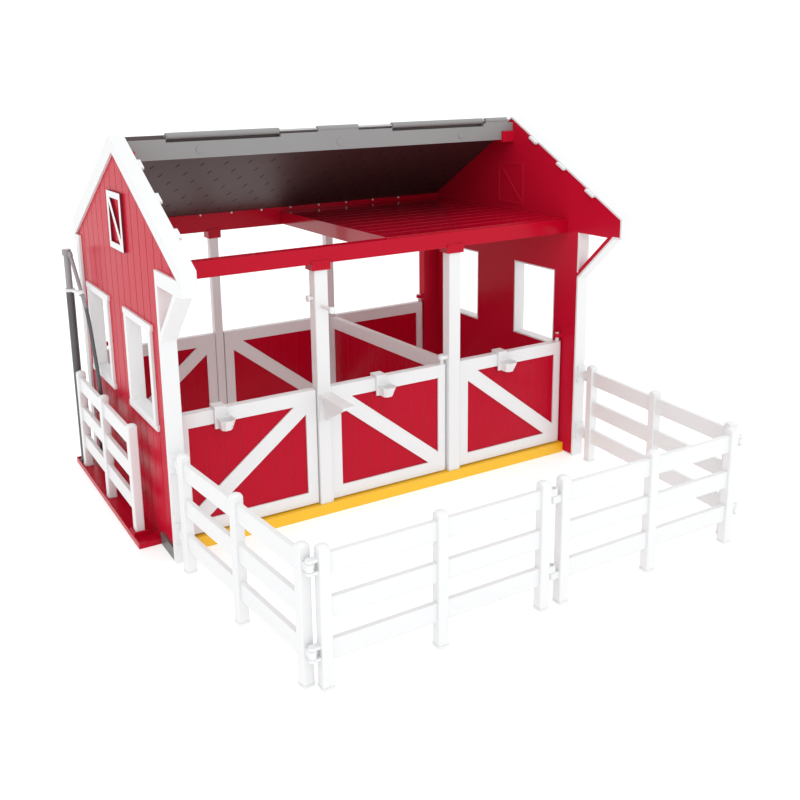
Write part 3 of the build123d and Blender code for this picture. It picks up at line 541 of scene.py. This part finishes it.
def laid_grid(name, tree, values, place, body):
    """Runs a grid tree, makes it a plain mesh in place and lets it ride on a body."""
    holder = new_object(name, bpy.data.meshes.new(name))
    modifier = holder.modifiers.new("grid", "NODES")
    modifier.node_group = tree
    for item in tree.interface.items_tree:
        if item.in_out == "INPUT" and item.name in values:
            modifier[item.identifier] = values[item.name]
    bpy.context.view_layer.update()
    evaluated = holder.evaluated_get(bpy.context.evaluated_depsgraph_get())
    mesh = bpy.data.meshes.new_from_object(evaluated)
    holder.modifiers.clear()
    holder.data = mesh
    mesh.transform(place)
    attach(holder, body)


def roof_frame(side_x, run, rise):
    """Axes on the rear slope: X along the ridge, Y down the slope, Z off the roof."""
    down = Vector((0, cos(ROOF_SLOPE), -sin(ROOF_SLOPE)))
    off = Vector((0, sin(ROOF_SLOPE), cos(ROOF_SLOPE)))
    start = Vector((side_x, HINGE_Y, HINGE_Z)) + down * run + off * rise
    return placed((Vector((1, 0, 0)), down, off), start)


slit_tree = grid_tree("roof_slits", slit_shade)
shingle_tree = grid_tree("roof_shingles", roof_brown)
row_of_studs = stud_tree("roof_snap_studs", white_satin)
panel_off = PANEL_RISE + PANEL_THICK
shingle_off = PANEL_RISE - SHINGLE_SINK
beam_top_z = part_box("back_header_beam")[1].z
beam_front_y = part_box("loft_floor")[1].y + LOFT_GAP
stud_place = Matrix.Translation((FIRST_STUD_X, beam_front_y, beam_top_z - STUD_RADIUS))
for name, tree, values, place, body, slot in (
    (
        "rear_roof_slits", slit_tree, SLITS,
        roof_frame(SLIT_SIDE_X, FIRST_SLIT_RUN, -panel_off), "stable", "brown_plastic",
    ),
    (
        "front_roof_slits", slit_tree, SLITS,
        roof_frame(SLIT_SIDE_X, FIRST_SLIT_RUN, panel_off), "front_roof", "brown_plastic",
    ),
    (
        "rear_roof_shingles", shingle_tree, SHINGLES,
        roof_frame(SHINGLE_SIDE_X, REAR_SHINGLE_RUN, -shingle_off), "stable", "brown_plastic",
    ),
    (
        "front_roof_shingles", shingle_tree, SHINGLES,
        roof_frame(SHINGLE_SIDE_X, FRONT_SHINGLE_RUN, shingle_off), "front_roof", "brown_plastic",
    ),
    ("roof_snap_studs", row_of_studs, STUDS, stud_place, "stable", "white_plastic"),
):
    laid_grid(name, tree, values, place, body)


# Foot of the left gable: a strip of painted shade

def foot_shade_strip():
    """The grey strip along the foot of the left gable: painted shade where its white foot trim lies in
    shadow.
    """
    tray_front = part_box("wash_tray")[0].y
    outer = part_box("left_wall_trim")[0].x
    low = Vector((outer + STRIP_INSET, STRIP_FRONT_Y, STRIP_LIFT))
    high = Vector((outer + STRIP_INSET + STRIP_THICK, tray_front - STRIP_GAP, STRIP_TOP))
    mesh = bpy.data.meshes.new("left_foot_shade_strip")
    corners = [
        (x, y, z) for x in (low.x, high.x) for y in (low.y, high.y) for z in (low.z, high.z)
    ]
    faces = [
        (0, 1, 3, 2), (4, 6, 7, 5),
        (0, 4, 5, 1), (2, 3, 7, 6),
        (0, 2, 6, 4), (1, 5, 7, 3),
    ]
    mesh.from_pydata(corners, [], faces)
    mesh.materials.append(foot_shade_grey)
    piece = new_object("left_foot_shade_strip", mesh)
    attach(piece, "stable")


foot_shade_strip()


# Camera, light and floor

def camera():
    """The camera at the photograph's place."""
    data = bpy.data.cameras.new("camera")
    view = new_object("camera", data)
    ahead = Vector((
        sin(CAMERA_HEADING) * cos(CAMERA_TILT),
        cos(CAMERA_HEADING) * cos(CAMERA_TILT),
        -sin(CAMERA_TILT),
    ))
    right = ahead.cross(Vector((0, 0, 1))).normalized()
    up = right.cross(ahead)
    rolled_right = right * cos(CAMERA_ROLL) + up * sin(CAMERA_ROLL)
    rolled_up = up * cos(CAMERA_ROLL) - right * sin(CAMERA_ROLL)
    view.matrix_world = placed((rolled_right, rolled_up, -ahead), CAMERA_PLACE)
    data.lens = CAMERA_LENS
    data.sensor_width = CAMERA_SENSOR
    data.shift_x, data.shift_y = CAMERA_SHIFT
    data.clip_start = CAMERA_NEAR
    bpy.context.scene.camera = view


def area_light(name, place, target, size, power):
    """A square soft lamp."""
    data = bpy.data.lights.new(name, "AREA")
    data.shape = "SQUARE"
    data.size = size
    data.energy = power
    lamp = new_object(name, data)
    lamp.location = place
    lamp.rotation_euler = (Vector(target) - Vector(place)).to_track_quat("-Z", "Y").to_euler()


def studio():
    """White surroundings, three soft lamps and a plain pale floor."""
    world = bpy.data.worlds.new("studio")
    bpy.context.scene.world = world
    world.use_nodes = True
    background = world.node_tree.nodes["Background"]
    background.inputs[0].default_value = (1, 1, 1, 1)
    background.inputs[1].default_value = WORLD_LIGHT
    for name, place, target, size, power in LAMPS:
        area_light(name, place, target, size, power)

    mesh = bpy.data.meshes.new("floor")
    reach = FLOOR_REACH
    corners = [(-reach, -reach, 0), (reach, -reach, 0), (reach, reach, 0), (-reach, reach, 0)]
    mesh.from_pydata(corners, [], [(0, 1, 2, 3)])
    floor = new_object("floor", mesh)
    pale = bpy.data.materials.new("pale_floor")
    pale.use_nodes = True
    shader = pale.node_tree.nodes["Principled BSDF"]
    shader.inputs["Base Color"].default_value = (FLOOR_GREY, FLOOR_GREY, FLOOR_GREY, 1)
    shader.inputs["Roughness"].default_value = FLOOR_ROUGH
    shader.inputs["Emission Color"].default_value = (1, 1, 1, 1)
    shader.inputs["Emission Strength"].default_value = FLOOR_GLOW
    mesh.materials.append(pale)
    bpy.context.scene.view_settings.view_transform = "Standard"


camera()
studio()
